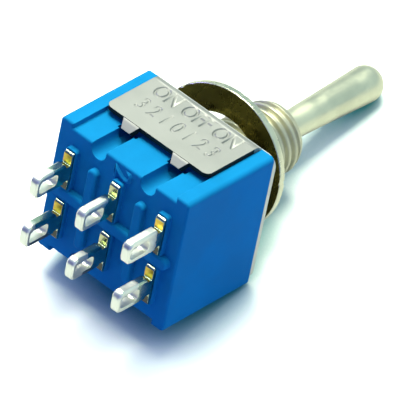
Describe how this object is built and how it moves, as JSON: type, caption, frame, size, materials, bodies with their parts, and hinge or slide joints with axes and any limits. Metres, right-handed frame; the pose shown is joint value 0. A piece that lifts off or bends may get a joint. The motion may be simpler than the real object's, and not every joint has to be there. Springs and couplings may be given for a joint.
{
  "type": "toggle switch",
  "caption": "Miniature panel toggle switch with solder lugs, a threaded bushing and a bat-shaped lever that rocks between end positions through a centre rest.",
  "frame": {"origin": "on the bushing's axis, where the free thread starts in front of the loose washer", "axes": "+X along the lever's axis from the terminals to the lever's tip, +Y across the row of three terminals, +Z across the two rows, up as the switch lies in the picture"},
  "size_m": [0.0346, 0.0132, 0.0132],
  "materials": {
    "case_plastic": "moulded blue thermoset, fine satin grain",
    "frame_sheet": "satin plated steel sheet",
    "bushing_plating": "turned brass, bright nickel plated",
    "nut_plating": "nickel plated steel",
    "washer_plating": "bright plated steel with tumbling marks",
    "lever_plating": "turned brass, bright nickel plated",
    "lug_plating": "stamped brass, tin plated, bare on the sheared faces",
    "contact_silver": "polished silver facing",
    "rocker_silver": "silver-plated copper alloy",
    "plunger_metal": "bare turned brass",
    "spring_wire": "drawn stainless wire",
    "inner_plastic": "natural ivory moulding"
  },
  "bodies": {
    "housing": {"case": "case_plastic", "frame": "frame_sheet", "bushing": "bushing_plating", "hex_nut": "nut_plating", "washer": "washer_plating", "throw_terminal_1": "lug_plating", "common_terminal_2": "lug_plating", "throw_terminal_3": "lug_plating", "throw_terminal_4": "lug_plating", "common_terminal_5": "lug_plating", "throw_terminal_6": "lug_plating", "contact_1": "contact_silver", "contact_3": "contact_silver", "contact_4": "contact_silver", "contact_6": "contact_silver"},
    "lever": {"toggle_lever": "lever_plating", "actuator": "inner_plastic", "plunger_upper": "plunger_metal", "plunger_lower": "plunger_metal", "plunger_spring_upper": "spring_wire", "plunger_spring_lower": "spring_wire"},
    "rocker_upper": {"rocker_upper": "rocker_silver"},
    "rocker_lower": {"rocker_lower": "rocker_silver"}
  },
  "joints": [
    {"name": "lever_swing", "type": "hinge", "parent": "housing", "child": "lever", "pos_m": [0.0021, 0, 0], "axis": [0, 0, 1], "range_deg": [-12.5, 12.5]},
    {"name": "rocker_upper_tilt", "type": "hinge", "parent": "housing", "child": "rocker_upper", "pos_m": [-0.01045, 0, 0.00237], "axis": [0, 0, 1], "range_deg": [-9.2, 9.2]},
    {"name": "rocker_lower_tilt", "type": "hinge", "parent": "housing", "child": "rocker_lower", "pos_m": [-0.01045, 0, -0.00237], "axis": [0, 0, 1], "range_deg": [-9.2, 9.2]}
  ],
  "couplings": [
    {"joint": "rocker_upper_tilt", "follows": "lever_swing", "ratio": -0.72},
    {"joint": "rocker_lower_tilt", "follows": "lever_swing", "ratio": -0.72}
  ]
}
